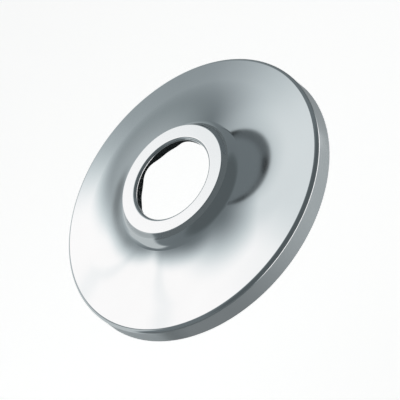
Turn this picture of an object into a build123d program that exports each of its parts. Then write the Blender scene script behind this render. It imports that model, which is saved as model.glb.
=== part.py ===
from build123d import *
import os
from math import cos, pi, radians, sin, tan

os.makedirs("parts", exist_ok=True)

# Sizes in millimetres. The back of the rim lies on the wall at z = 0 and the pipe runs along +Z.
outside_d = 60.3          # across the foot of the skirt, where the plate meets the wall
plate_h = 9.6             # from the wall to the front of the flat ring
sheet_t = 0.6             # thickness of the pressed sheet
foot_spare = 0.5          # extra length of the skirt before its foot is cut flat
bore_d = 17.4             # inside the turned-in lip: slips over pipe 17.1 mm across

# Skirt and shoulder: the short side wall of the rim and the rounded edge above it.
skirt_draft = 2.0         # degrees the skirt leans in, so that it leaves the press tool
shoulder_h = 4.05         # where skirt and bell face would meet if the edge were sharp
shoulder_r = 0.8          # rounding of that edge, on the outside

# Bell face: gently hollow, shallow near the rim and steeper towards the collar.
rim_slope = 6.5           # degrees below level near the rim
bell_break_d = 39.0       # where the shallow and the steep part would meet
bell_slope = 16.0         # degrees below level near the collar
bell_blend = 0.78         # share of the steep part that the hollow curve between the two takes up

# Collar and ring: the raised neck around the pipe and its flat front.
collar_d = 23.8           # across the collar at its front
collar_draft = 20.0       # degrees the collar leans out towards its foot
cove_r = 3.0              # hollow curve at the foot of the collar, where there is room for it
cove_fill = 0.9           # share of the shorter straight run beside it that the cove may take up
ring_bevel = 0.25         # narrow bevel that breaks the ring's outer edge

# Lip: the edge of the hole is rolled in and ends in spring tongues that hold the pipe.
lip_roll_r = 0.6          # rounding from the ring into the hole
tongue_count = 5          # tongues around the hole
tongue_l = 2.2            # from the front of the ring to the tip of a tongue
notch_l = 1.3             # from the front of the ring to the top of the notch between two tongues
notch_r = 5.5             # rounding of a notch
tongue_tip_r = 5.0        # rounding where a notch runs out into the tongues
lip_spare = 0.5           # extra length of the lip before the notches trim it to shape
lip_clear = 0.3           # room that the trimming tool keeps on each side of the lip

# Radii and heights that follow from the sizes above.
foot_r = outside_d / 2
spare_r = foot_r + foot_spare * tan(radians(skirt_draft))
shoulder_corner_r = foot_r - shoulder_h * tan(radians(skirt_draft))
bell_break_r = bell_break_d / 2
bell_break_h = shoulder_h + (shoulder_corner_r - bell_break_r) * tan(radians(rim_slope))
collar_r = collar_d / 2
collar_flare = tan(radians(collar_draft))
bell_rise = tan(radians(bell_slope))
cove_h_straight = bell_break_h + (bell_break_r - collar_r - plate_h * collar_flare) * bell_rise
cove_h = cove_h_straight / (1 - collar_flare * bell_rise)
cove_corner_r = collar_r + (plate_h - cove_h) * collar_flare
bell_bend = radians(bell_slope - rim_slope)
bell_r = bell_blend * (bell_break_r - cove_corner_r) / tan(bell_bend / 2)
collar_run = (plate_h - cove_h) / cos(radians(collar_draft)) - ring_bevel
bell_run = (bell_break_r - cove_corner_r) * (1 / cos(radians(bell_slope)) - bell_blend)
cove_bend = radians(90 - collar_draft - bell_slope)
cove_room_r = cove_fill * min(collar_run, bell_run) / tan(cove_bend / 2)
cove_fit_r = min(cove_r, cove_room_r)
bore_r = bore_d / 2
tip_h = plate_h - tongue_l
notch_h = plate_h - notch_l
blank_h = tip_h - lip_spare

# Corners of the outside of the sheet as radius and height, from the foot of the skirt to the end of the lip.
sheet_corners = [
    (spare_r, -foot_spare),
    (shoulder_corner_r, shoulder_h),
    (bell_break_r, bell_break_h),
    (cove_corner_r, cove_h),
    (collar_r, plate_h),
    (bore_r, plate_h),
    (bore_r, blank_h),
]
sheet_rounds = [shoulder_r, bell_r, cove_fit_r, 0, lip_roll_r]

# Inside of the sheet: every straight run moved in by one thickness. Its corners stay sharp, because
# nothing shows them.
skin_points = [Vector(*corner) for corner in sheet_corners]
runs = list(zip(skin_points, skin_points[1:]))
inward = [(end - start).normalized().rotate(Axis.Z, 90) for start, end in runs]
lining_points = [skin_points[0] + inward[0] * sheet_t]
for corner, before, after in zip(skin_points[1:], inward, inward[1:]):
    lining_points.append(corner + (before + after) * (sheet_t / (1 + before.dot(after))))
lining_points.append(skin_points[-1] + inward[-1] * sheet_t)

# The pressed blank: the sheet between skin and lining, turned about the pipe's axis and cut flat at the wall.
with BuildPart() as blank:
    with BuildSketch(Plane.XZ) as section:
        with BuildLine():
            skin = FilletPolyline(*skin_points, radius=sheet_rounds)
            Polyline(skin @ 1, *reversed(lining_points), skin @ 0)
        make_face()
        chamfer(section.vertices().sort_by_distance((collar_r, plate_h))[0], length=ring_bevel)
    revolve(axis=Axis.Z)
    split(bisect_by=Plane.XY, keep=Keep.TOP)

# One notch as the trimming punch sees it: a round top that runs out level at the tongues' tips.
lip_outer_r = bore_r + sheet_t
punch_w = 2 * (lip_outer_r + lip_clear) * sin(pi / tongue_count)
with BuildPart() as punch:
    with BuildSketch(Plane.XZ) as notch:
        with Locations((0, notch_h - notch_r)):
            Circle(notch_r)
        with Locations((0, tip_h)):
            Rectangle(punch_w, 2 * notch_r, align=(Align.CENTER, Align.MAX))
        fillet(notch.vertices().sort_by_distance((0, tip_h))[:2], radius=tongue_tip_r)
    extrude(amount=lip_outer_r + lip_clear)

# The punch works all round the lip and touches nothing beyond it.
lip_zone = Cylinder(lip_outer_r + lip_clear, plate_h, align=(Align.CENTER, Align.CENTER, Align.MIN))
notches = [place * punch.part & lip_zone for place in PolarLocations(0, tongue_count)]
escutcheon = blank.part - notches

escutcheon.label = "escutcheon"
export_step(escutcheon, "parts/escutcheon.step")
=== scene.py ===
from math import radians

import bpy
import numpy as np
from mathutils import Matrix


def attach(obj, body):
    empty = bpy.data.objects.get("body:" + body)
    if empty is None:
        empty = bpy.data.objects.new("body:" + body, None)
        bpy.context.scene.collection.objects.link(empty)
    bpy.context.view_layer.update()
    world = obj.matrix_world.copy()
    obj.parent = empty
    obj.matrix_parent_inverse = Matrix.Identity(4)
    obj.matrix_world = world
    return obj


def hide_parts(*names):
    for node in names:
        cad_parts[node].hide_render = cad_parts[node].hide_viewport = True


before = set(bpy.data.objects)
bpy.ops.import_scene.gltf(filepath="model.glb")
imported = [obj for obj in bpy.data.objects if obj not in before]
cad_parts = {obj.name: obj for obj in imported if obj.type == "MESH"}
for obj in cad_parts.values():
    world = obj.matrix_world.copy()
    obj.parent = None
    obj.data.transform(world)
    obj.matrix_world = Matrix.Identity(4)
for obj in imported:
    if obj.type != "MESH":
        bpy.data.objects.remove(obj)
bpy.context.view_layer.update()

# Escutcheon: one thin disc of steel, pressed to a bell with a short skirt, a raised collar and a
# flat ring. Its hole is rolled in to a lip with five spring tongues that hold it on the pipe, and
# the whole of it is polished and chromed.
SHEET = 0.6               # thickness of the steel; all sizes here are in mm
BORE_R = 8.7              # inside of the lip
RING_H = 9.6              # front of the flat ring
ROLL_END_H = 8.95         # where the rolled edge turns into the straight of the lip
TIP_H = 7.4               # tip of a tongue
TONGUES = 5
NOTCH_TOP_H = 8.3         # top of the notch between two tongues
NOTCH_TOP_R = 5.5         # rounding of a notch
NOTCH_FOOT_R = 5.0        # rounding where a notch runs out into a tongue
NOTCH_TURN = 2.228        # along the lip from a notch's middle to where the two roundings meet
NOTCH_END = 4.253         # and to where the notch has run out
EDGE_R = 0.12             # rounding of the sheet's cut edges
CREASE_R = 0.05           # rounding of the creases on the back
LIP_SLACK = 0.01          # keeps the lip's own points in the lip whatever their last digits are
COLUMNS, ARC_STEPS = 360, 13

# Corners of the sheet's outside as radius and height, and the rounding of each: foot of the skirt,
# shoulder, hollow of the bell, foot of the collar, edge of the ring, rolled edge, tip of the lip.
skin = np.array([(30.15, 0.0), (30.0086, 4.05), (19.5, 5.2473), (12.7832, 7.1733),
                 (11.9, RING_H), (BORE_R, RING_H), (BORE_R, TIP_H)])
skin_rounds = [EDGE_R, 0.8, 63.05, 3.0, 0.22, 0.6, EDGE_R]


def inside_of(corners, thickness):
    """Every straight run moved in by the sheet's thickness; neighbouring runs meet in a mitre."""
    along = np.diff(corners, axis=0)
    along /= np.linalg.norm(along, axis=1)[:, None]
    inward = np.stack([-along[:, 1], along[:, 0]], axis=1)
    both = inward[:-1] + inward[1:]
    lean = 1 + np.sum(inward[:-1] * inward[1:], axis=1)
    return corners[1:-1] + both * (thickness / lean)[:, None]


def rounded_section(corners, rounds, steps):
    """A closed polygon with an arc at every corner. Each arc starts at the corner's radius times the
    tangent of half the turn before the corner, and its normal swings evenly from run to run."""
    before = corners - np.roll(corners, 1, axis=0)
    before /= np.linalg.norm(before, axis=1)[:, None]
    after = np.roll(before, -1, axis=0)
    across = before[:, 0] * after[:, 1] - before[:, 1] * after[:, 0]
    turn = np.arctan2(across, np.sum(before * after, axis=1))
    side = np.sign(turn)
    centre = corners - before * (rounds * np.tan(np.abs(turn) / 2))[:, None]
    centre = centre + np.stack([-before[:, 1], before[:, 0]], axis=1) * (side * rounds)[:, None]
    start = np.arctan2(-before[:, 0], before[:, 1])
    swing = start[:, None] + turn[:, None] * np.linspace(0, 1, steps)
    normal = np.stack([np.cos(swing), np.sin(swing)], axis=2)
    points = centre[:, None] + normal * (side * rounds)[:, None, None]
    return points.reshape(-1, 2), normal.reshape(-1, 2)


def lip_end(tangential):
    """Height of the lip's end over the distance along the lip from a notch's middle: a round top,
    then a hollow run-out that ends level at the tongue's tip."""
    x = np.abs(tangential)
    top = NOTCH_TOP_H - NOTCH_TOP_R + np.sqrt(np.maximum(NOTCH_TOP_R**2 - x**2, 0))
    to_end = np.minimum(x - NOTCH_END, 0)
    foot = TIP_H + NOTCH_FOOT_R - np.sqrt(np.maximum(NOTCH_FOOT_R**2 - to_end**2, 0))
    return np.where(x < NOTCH_TURN, top, np.where(x < NOTCH_END, foot, TIP_H))


# The closed section: outside from the foot to the lip's tip, then the inside back to the foot.
lining = inside_of(skin, SHEET)[::-1]
lining_rounds = [CREASE_R, CREASE_R, 3.6, 63.65, 0.2]
lip_back = [(BORE_R + SHEET, TIP_H)]
foot_back = [(skin[0, 0] - SHEET, 0.0)]
corners = np.concatenate([skin, lip_back, lining, foot_back])
rounds = np.array(skin_rounds + [EDGE_R] + lining_rounds + [EDGE_R])
profile, profile_normal = rounded_section(corners, rounds, ARC_STEPS)

# The profile turned about the pipe's axis. Only the straight of the lip is drawn out or taken back,
# by the share of it that a point lies down, so that the lip ends in tongues.
angle = np.linspace(0, 2 * np.pi, COLUMNS, endpoint=False)
radius, height = profile[:, 0:1], profile[:, 1:2]
half_pitch = np.pi / TONGUES
from_notch = np.mod(angle + np.pi / 2 + half_pitch, 2 * half_pitch) - half_pitch
in_lip = radius < BORE_R + SHEET + LIP_SLACK
on_lip = in_lip * np.clip((ROLL_END_H - height) / (ROLL_END_H - TIP_H), 0, 1)
trimmed = height + on_lip * (lip_end(radius * np.sin(from_notch)) - TIP_H)
points = np.stack([radius * np.cos(angle), radius * np.sin(angle), trimmed], axis=2) * 0.001
outward, up = profile_normal[:, 0:1], profile_normal[:, 1:2]
normals = np.stack([outward * np.cos(angle), outward * np.sin(angle), up + 0 * angle], axis=2)

index = np.arange(len(profile) * COLUMNS).reshape(-1, COLUMNS)
next_row, next_column = np.roll(index, -1, axis=0), np.roll(index, -1, axis=1)
next_both = np.roll(next_row, -1, axis=1)
quads = np.stack([index, next_column, next_both, next_row], axis=2).reshape(-1, 4)

mesh = bpy.data.meshes.new("escutcheon_plate")
mesh.from_pydata(points.reshape(-1, 3), [], quads)
mesh.polygons.foreach_set("use_smooth", np.ones(len(mesh.polygons), dtype=bool))
mesh.normals_split_custom_set_from_vertices(normals.reshape(-1, 3))
plate = bpy.data.objects.new("escutcheon_plate", mesh)
bpy.context.collection.objects.link(plate)
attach(plate, "root")
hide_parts("escutcheon")


def linear(code):
    """An sRGB hex colour as linear RGBA."""
    c = np.array([int(code[i:i + 2], 16) for i in (1, 3, 5)]) / 255
    return (*np.where(c <= 0.04045, c / 12.92, ((c + 0.055) / 1.055) ** 2.4), 1.0)


def node(tree, kind, links=(), **settings):
    """Adds a node, sets its properties or its inputs by name, and links (output, input name) pairs."""
    made = tree.nodes.new(kind)
    for name, value in settings.items():
        if name in made.inputs:
            made.inputs[name].default_value = value
        else:
            setattr(made, name, value)
    for output, name in links:
        tree.links.new(output, made.inputs[name])
    return made


# Bright chrome plate on polished pressed steel: a cool grey mirror. Polishing leaves it a little
# hazier in some places than in others, so that the edges of what it mirrors are a little soft.
HAZE_MM = 6.25            # across a hazy place
chrome = bpy.data.materials.new("bright chrome plate")
chrome.use_nodes = True
tree = chrome.node_tree
shader = tree.nodes["Principled BSDF"]
shader.inputs["Metallic"].default_value = 1.0
place = node(tree, "ShaderNodeTexCoord").outputs["Object"]
haze = node(tree, "ShaderNodeTexNoise", [(place, "Vector")], Scale=1000 / HAZE_MM, Detail=3.0)
tone = node(tree, "ShaderNodeValToRGB", [(haze.outputs["Fac"], "Fac")])
tone.color_ramp.elements[0].color = linear("#C9CBCC")
tone.color_ramp.elements[1].color = linear("#CDCFD0")
tree.links.new(tone.outputs["Color"], shader.inputs["Base Color"])
polish = node(tree, "ShaderNodeMapRange", [(haze.outputs["Fac"], "Value")])
polish.inputs["To Min"].default_value = 0.05
polish.inputs["To Max"].default_value = 0.09
tree.links.new(polish.outputs["Result"], shader.inputs["Roughness"])
plate.data.materials.append(chrome)

# Floor: a plain pale board of opal acrylic with a light table let into it. The plate hangs well clear
# of it, as parts do for a catalogue, so that its shadow on the floor is too soft to see.
AZIMUTH = radians(25)     # turn of the camera about the plate; right and near are as the camera sees it
right = np.array([np.cos(AZIMUTH), np.sin(AZIMUTH), 0.0])
near = np.array([np.sin(AZIMUTH), -np.cos(AZIMUTH), 0.0])
upward = np.array([0.0, 0.0, 1.0])
FLOOR_HALF, FLOOR_DROP = 40.0, 0.6     # metres, as all sizes of the stage are
mesh = bpy.data.meshes.new("floor")
mesh.from_pydata([(-FLOOR_HALF, -FLOOR_HALF, 0), (FLOOR_HALF, -FLOOR_HALF, 0),
                  (FLOOR_HALF, FLOOR_HALF, 0), (-FLOOR_HALF, FLOOR_HALF, 0)], [], [(0, 1, 2, 3)])
floor = bpy.data.objects.new("floor", mesh)
floor.location.z = -FLOOR_DROP
bpy.context.collection.objects.link(floor)

# Opal acrylic: matt and white, with a faint grain. To the camera all of it glows; in the chrome only
# the light table does, a lozenge behind the plate. The glow casts no light on anything matt.
GRAIN_MM = 1.11           # across a grain
TABLE_AWAY = 0.67         # from below the plate to the table's middle, away from the camera
TABLE_W, TABLE_L = 0.205, 0.305        # half of the lozenge's width and of its length
TABLE_TURN = radians(-7.5)
TABLE_EDGE = 1.12         # where the table has faded out, as a share of its size
TABLE_GLOW = 0.7
opal = bpy.data.materials.new("opal acrylic")
opal.use_nodes = True
tree = opal.node_tree
shader = tree.nodes["Principled BSDF"]
shader.inputs["Roughness"].default_value = 0.9
shader.inputs["Specular IOR Level"].default_value = 0.1
place = node(tree, "ShaderNodeTexCoord").outputs["Object"]
grain = node(tree, "ShaderNodeTexNoise", [(place, "Vector")], Scale=1000 / GRAIN_MM, Detail=2.0)
tone = node(tree, "ShaderNodeValToRGB", [(grain.outputs["Fac"], "Fac")])
tone.color_ramp.elements[0].color = linear("#F1F0EF")
tone.color_ramp.elements[1].color = linear("#F4F3F2")
tree.links.new(tone.outputs["Color"], shader.inputs["Base Color"])
table = node(tree, "ShaderNodeMapping", [(place, "Vector")], vector_type="TEXTURE",
             Location=-near * TABLE_AWAY, Rotation=(0, 0, AZIMUTH + TABLE_TURN),
             Scale=(TABLE_W, TABLE_L, 1))
sizes = node(tree, "ShaderNodeVectorMath", [(table.outputs["Vector"], 0)], operation="ABSOLUTE")
reach = node(tree, "ShaderNodeVectorMath", [(sizes.outputs["Vector"], 0)], operation="DOT_PRODUCT")
reach.inputs[1].default_value = (1, 1, 0)
inside = node(tree, "ShaderNodeMapRange", [(reach.outputs["Value"], "Value")],
              interpolation_type="SMOOTHSTEP")
inside.inputs["From Min"].default_value = TABLE_EDGE
inside.inputs["From Max"].default_value = 1.0
ray = node(tree, "ShaderNodeLightPath").outputs
mirrored = node(tree, "ShaderNodeMath", [(ray["Is Glossy Ray"], 0), (ray["Is Transmission Ray"], 1)],
                operation="MAXIMUM")
mirrored = node(tree, "ShaderNodeMath", [(mirrored.outputs["Value"], 0), (inside.outputs["Result"], 1)],
                operation="MULTIPLY")
seen = node(tree, "ShaderNodeMath", [(ray["Is Camera Ray"], 0), (mirrored.outputs["Value"], 1)],
            operation="MAXIMUM")
shine = node(tree, "ShaderNodeMath", [(seen.outputs["Value"], 0)], operation="MULTIPLY")
shine.inputs[1].default_value = TABLE_GLOW
shader.inputs["Emission Color"].default_value = linear("#FFFCFA")
tree.links.new(shine.outputs["Value"], shader.inputs["Emission Strength"])
floor.data.materials.append(opal)

# Light: lit diffuser cloths hung in curves around the plate, a black card of painted shade below it and
# a dim room.
# The chrome mirrors them all: one large cloth behind the plate lights its face, low fill cloths
# light its skirt and collar. The camera itself sees neither the cloths nor the card.
CLOTH_R, CLOTH_FULL = 0.9, 1.6         # distance from the plate, and strength where the glow is 1

# The large cloth. A and E are the azimuth and elevation of its points in degrees; azimuth 0 is away
# from the camera and grows to its right. It fades out to the left, the top and the bottom, is dimmer
# on the right and ends at a seam there.
A, E = np.meshgrid(np.linspace(-45, 36, 220), np.linspace(12, 80, 160))


def fade(value, low, high):
    """Rises smoothly from 0 at low to 1 at high."""
    share = np.clip((value - low) / (high - low), 0, 1)
    return share * share * (3 - 2 * share)


left_edge = -35.5 + 0.8 * np.maximum(46 - E, 0) + 0.03 * np.maximum(E - 54, 0) ** 2
left_blur = 4 + 4 * fade(E, 45, 62)
right_edge = 29 - 0.28 * (E - 45)
to_right = fade(A, -6, 12)
bottom_edge = 22.5 + 13.5 * fade(A, -14, 14)
sides = fade((A - left_edge) / left_blur, -1, 1) * fade(right_edge - A, -0.4, 0.4)
top = fade(E, 77, 56)
bottom = fade((E - bottom_edge) / (6 + 8 * to_right), -1, 1)
bright = np.minimum(1, (1 - 0.34 * to_right) / np.maximum(top, 0.01))
near_seam = 1 - 0.2 * fade(right_edge - A, 8, 0)

# Two folds draw faint streaks. The hems hide the room beside the seam, darkest at three spots of the
# right one, and along the lower left.
streak_high = 0.12 * fade(np.abs(E - 50), 2.2, 0.4) * fade(A, -12, -20)
streak_low = 0.12 * fade(np.abs(E - 36), 2.0, 0.4) * fade(A, -8, -14)
glow = sides * top * bottom * bright * near_seam * (1 - streak_high - streak_low)
outside = A - right_edge
spots = sum(fade(np.hypot(outside - beyond, 0.8 * (E - high)), 3.2, 1)
            for beyond, high in [(3.5, 70), (2.4, 57), (1.2, 38)])
hem_right = fade(outside, -0.2, 0.6) * fade(outside, 6, 2.5) * (0.38 + 0.5 * spots)
hem_line = np.interp(A, [-32, -25, -15, -10, -5], [40, 31, 19.5, 15, 13])
hem_left = 0.45 * fade(np.abs(E - hem_line), 3.5, 0.5) * fade(A, -31, -24) * fade(A, -2, -8)
cover = np.clip(np.maximum(glow, np.maximum(hem_right, hem_left)), 0, 1)


def hang(name, azimuth, elevation, distance, glow, cover):
    """A cloth around the plate: each azimuth and elevation is a direction, and the point lies at one
    distance along it. It glows where glow is 1 and hides the room where cover is 1."""
    a, e = np.radians(azimuth), np.radians(elevation)
    spread = np.stack([np.cos(e) * np.sin(a), np.cos(e) * np.cos(a), np.sin(e)], axis=2)
    cells = np.arange(a.size).reshape(a.shape)
    faces = np.stack([cells[:-1, :-1], cells[:-1, 1:], cells[1:, 1:], cells[1:, :-1]], axis=2)
    mesh = bpy.data.meshes.new(name)
    places = spread @ np.stack([right, -near, upward]) * distance
    mesh.from_pydata(places.reshape(-1, 3), [], faces.reshape(-1, 4))
    for attribute, value in [("glow", glow), ("clear", 1 - cover)]:
        data = mesh.attributes.new(attribute, "FLOAT", "POINT").data
        data.foreach_set("value", value.ravel().astype(np.float32))
    made = bpy.data.objects.new(name, mesh)
    bpy.context.collection.objects.link(made)
    made.visible_camera = False
    return made


main_cloth = hang("lit_cloth", A, E, CLOTH_R, glow, cover)

# Low fill cloths on one frame: a bright strip in front on the right, which draws the line along the
# plate's edge, a pale one under it for the skirt, and two behind the plate on the left for the collar.
FILL_R = 0.5
A, E = np.meshgrid(np.linspace(-79, 281, 520), np.linspace(-66, 54, 240))
strip = fade(np.abs(E + 27.5 + 0.06 * (171 - A)), 8, 5) * fade(A, 62, 86) * fade(A, 205, 185)
under = fade(A, 10, 40) * fade(A, 280, 262) * fade(np.abs(E + 54), 22, 14.5)
left_top = 14 + 26 * fade(A, -40, -58)
left = fade(np.abs(A + 52), 26, 18) * fade(E, -19, -12) * fade(E, left_top + 9, left_top)
low = fade(A, -79, -66) * fade(A, 25, 5) * fade(E, -44, -34) * fade(E, 9, 1)
under_glow = 0.2 + 0.18 * fade(np.abs(A - 121), 110, 10)
glow = np.max([1.4 * strip, under_glow * under, 0.5 * left, 0.5 * low], axis=0)
cover = np.max([strip, under, left, low], axis=0)
fill_cloth = hang("fill_cloth", A, E, FILL_R, glow, cover)

# Thin white diffuser cloth, woven polyester: an even glow, a little cooler where it is dim. Where its
# weave is clear, the room shows through.
cloth = bpy.data.materials.new("white diffuser cloth")
cloth.use_nodes = True
tree = cloth.node_tree
tree.nodes.remove(tree.nodes["Principled BSDF"])
lit = node(tree, "ShaderNodeAttribute", attribute_name="glow").outputs["Fac"]
tint = node(tree, "ShaderNodeValToRGB", [(lit, "Fac")])
tint.color_ramp.elements[0].color = linear("#F1FBFF")
tint.color_ramp.elements[1].color = linear("#FFFCFB")
for position, code in [(0.47, "#F5FDFF"), (0.66, "#F9FEFF"), (0.85, "#FFFFFF")]:
    tint.color_ramp.elements.new(position).color = linear(code)
power = node(tree, "ShaderNodeMath", [(lit, 0)], operation="MULTIPLY")
power.inputs[1].default_value = CLOTH_FULL
shine = node(tree, "ShaderNodeEmission",
             [(tint.outputs["Color"], "Color"), (power.outputs["Value"], "Strength")])
gap = node(tree, "ShaderNodeAttribute", attribute_name="clear").outputs["Color"]
clear = node(tree, "ShaderNodeBsdfTransparent", [(gap, "Color")])
both = node(tree, "ShaderNodeAddShader", [(clear.outputs["BSDF"], 0), (shine.outputs["Emission"], 1)])
tree.links.new(both.outputs["Shader"], tree.nodes["Material Output"].inputs["Surface"])
main_cloth.data.materials.append(cloth)
fill_cloth.data.materials.append(cloth)

# A black card lies below the plate, so that the inside of the lip mirrors dark: it is painted shade,
# seen only in the chrome and casting no shadow.
CARD_R, CARD_DROP, CARD_SIDES = 0.042, 0.030, 64
around = np.linspace(0, 2 * np.pi, CARD_SIDES, endpoint=False)
rim = np.stack([CARD_R * np.cos(around), CARD_R * np.sin(around), 0 * around], axis=1)
mesh = bpy.data.meshes.new("painted_shade_card")
mesh.from_pydata(rim, [], [range(CARD_SIDES)])
card = bpy.data.objects.new("painted_shade_card", mesh)
card.location.z = -CARD_DROP
bpy.context.collection.objects.link(card)
card.visible_camera = False
card.visible_shadow = False

# Black felt on the card, which is painted shade in the chrome: matt, dark and a little uneven in its
# nap.
NAP_MM = 1.25             # across a tuft
painted_card_shade = bpy.data.materials.new("painted shade on the card")
painted_card_shade.use_nodes = True
tree = painted_card_shade.node_tree
shader = tree.nodes["Principled BSDF"]
shader.inputs["Roughness"].default_value = 1.0
shader.inputs["Specular IOR Level"].default_value = 0.1
place = node(tree, "ShaderNodeTexCoord").outputs["Object"]
nap = node(tree, "ShaderNodeTexNoise", [(place, "Vector")], Scale=1000 / NAP_MM, Detail=2.0)
tone = node(tree, "ShaderNodeValToRGB", [(nap.outputs["Fac"], "Fac")])
tone.color_ramp.elements[0].color = linear("#2E3233")
tone.color_ramp.elements[1].color = linear("#404546")
tree.links.new(tone.outputs["Color"], shader.inputs["Base Color"])
card.data.materials.append(painted_card_shade)

# The room: dim and cool, paler low down on the left, where a pale wall stands. The dot product with
# the direction of that wall says how pale it is.
PALE_SIDE, PALE_DROP = radians(-22), radians(-25)
pale_level = np.sin(PALE_SIDE) * right - np.cos(PALE_SIDE) * near
pale = np.cos(PALE_DROP) * pale_level + np.sin(PALE_DROP) * upward
world = bpy.data.worlds.new("dim room")
bpy.context.scene.world = world
world.use_nodes = True
tree = world.node_tree
place = node(tree, "ShaderNodeTexCoord").outputs["Generated"]
lean = node(tree, "ShaderNodeVectorMath", [(place, 0)], operation="DOT_PRODUCT")
lean.inputs[1].default_value = pale
share = node(tree, "ShaderNodeMapRange", [(lean.outputs["Value"], "Value")])
share.inputs["From Min"].default_value = -1.0
tone = node(tree, "ShaderNodeValToRGB", [(share.outputs["Result"], "Fac")])
tone.color_ramp.elements[0].color = linear("#666E71")
tone.color_ramp.elements[1].color = linear("#CDD6DA")
for lean_to, code in [(-0.55, "#666E71"), (-0.42, "#6C7578"), (-0.26, "#7E878B"), (0.42, "#858E92"),
                      (0.59, "#A6B0B3"), (0.66, "#B4BDC0"), (0.72, "#C0C9CC")]:
    tone.color_ramp.elements.new((1 + lean_to) / 2).color = linear(code)
tree.links.new(tone.outputs["Color"], tree.nodes["Background"].inputs["Color"])

# Camera: a long lens at the photograph's viewing angle, 42 degrees above the floor, and rolled so
# that the plate leans to the left as it does there.
TILT, ROLL = radians(47.55), radians(52.13)       # away from straight above, and about the view
DISTANCE = 0.39
toward = upward * np.cos(TILT) + near * np.sin(TILT)
rise = upward * np.sin(TILT) - near * np.cos(TILT)
axes = np.stack([np.cos(ROLL) * right - np.sin(ROLL) * rise,
                 np.sin(ROLL) * right + np.cos(ROLL) * rise, toward], axis=1)
lens = bpy.data.cameras.new("camera")
lens.sensor_width = 36
lens.lens = 178.8
lens.shift_y = 0.002
lens.clip_start = 0.01
camera = bpy.data.objects.new("camera", lens)
camera.matrix_world = Matrix.Translation(toward * DISTANCE) @ Matrix(axes.tolist()).to_4x4()
bpy.context.collection.objects.link(camera)
bpy.context.scene.camera = camera
bpy.context.scene.view_settings.view_transform = "Standard"
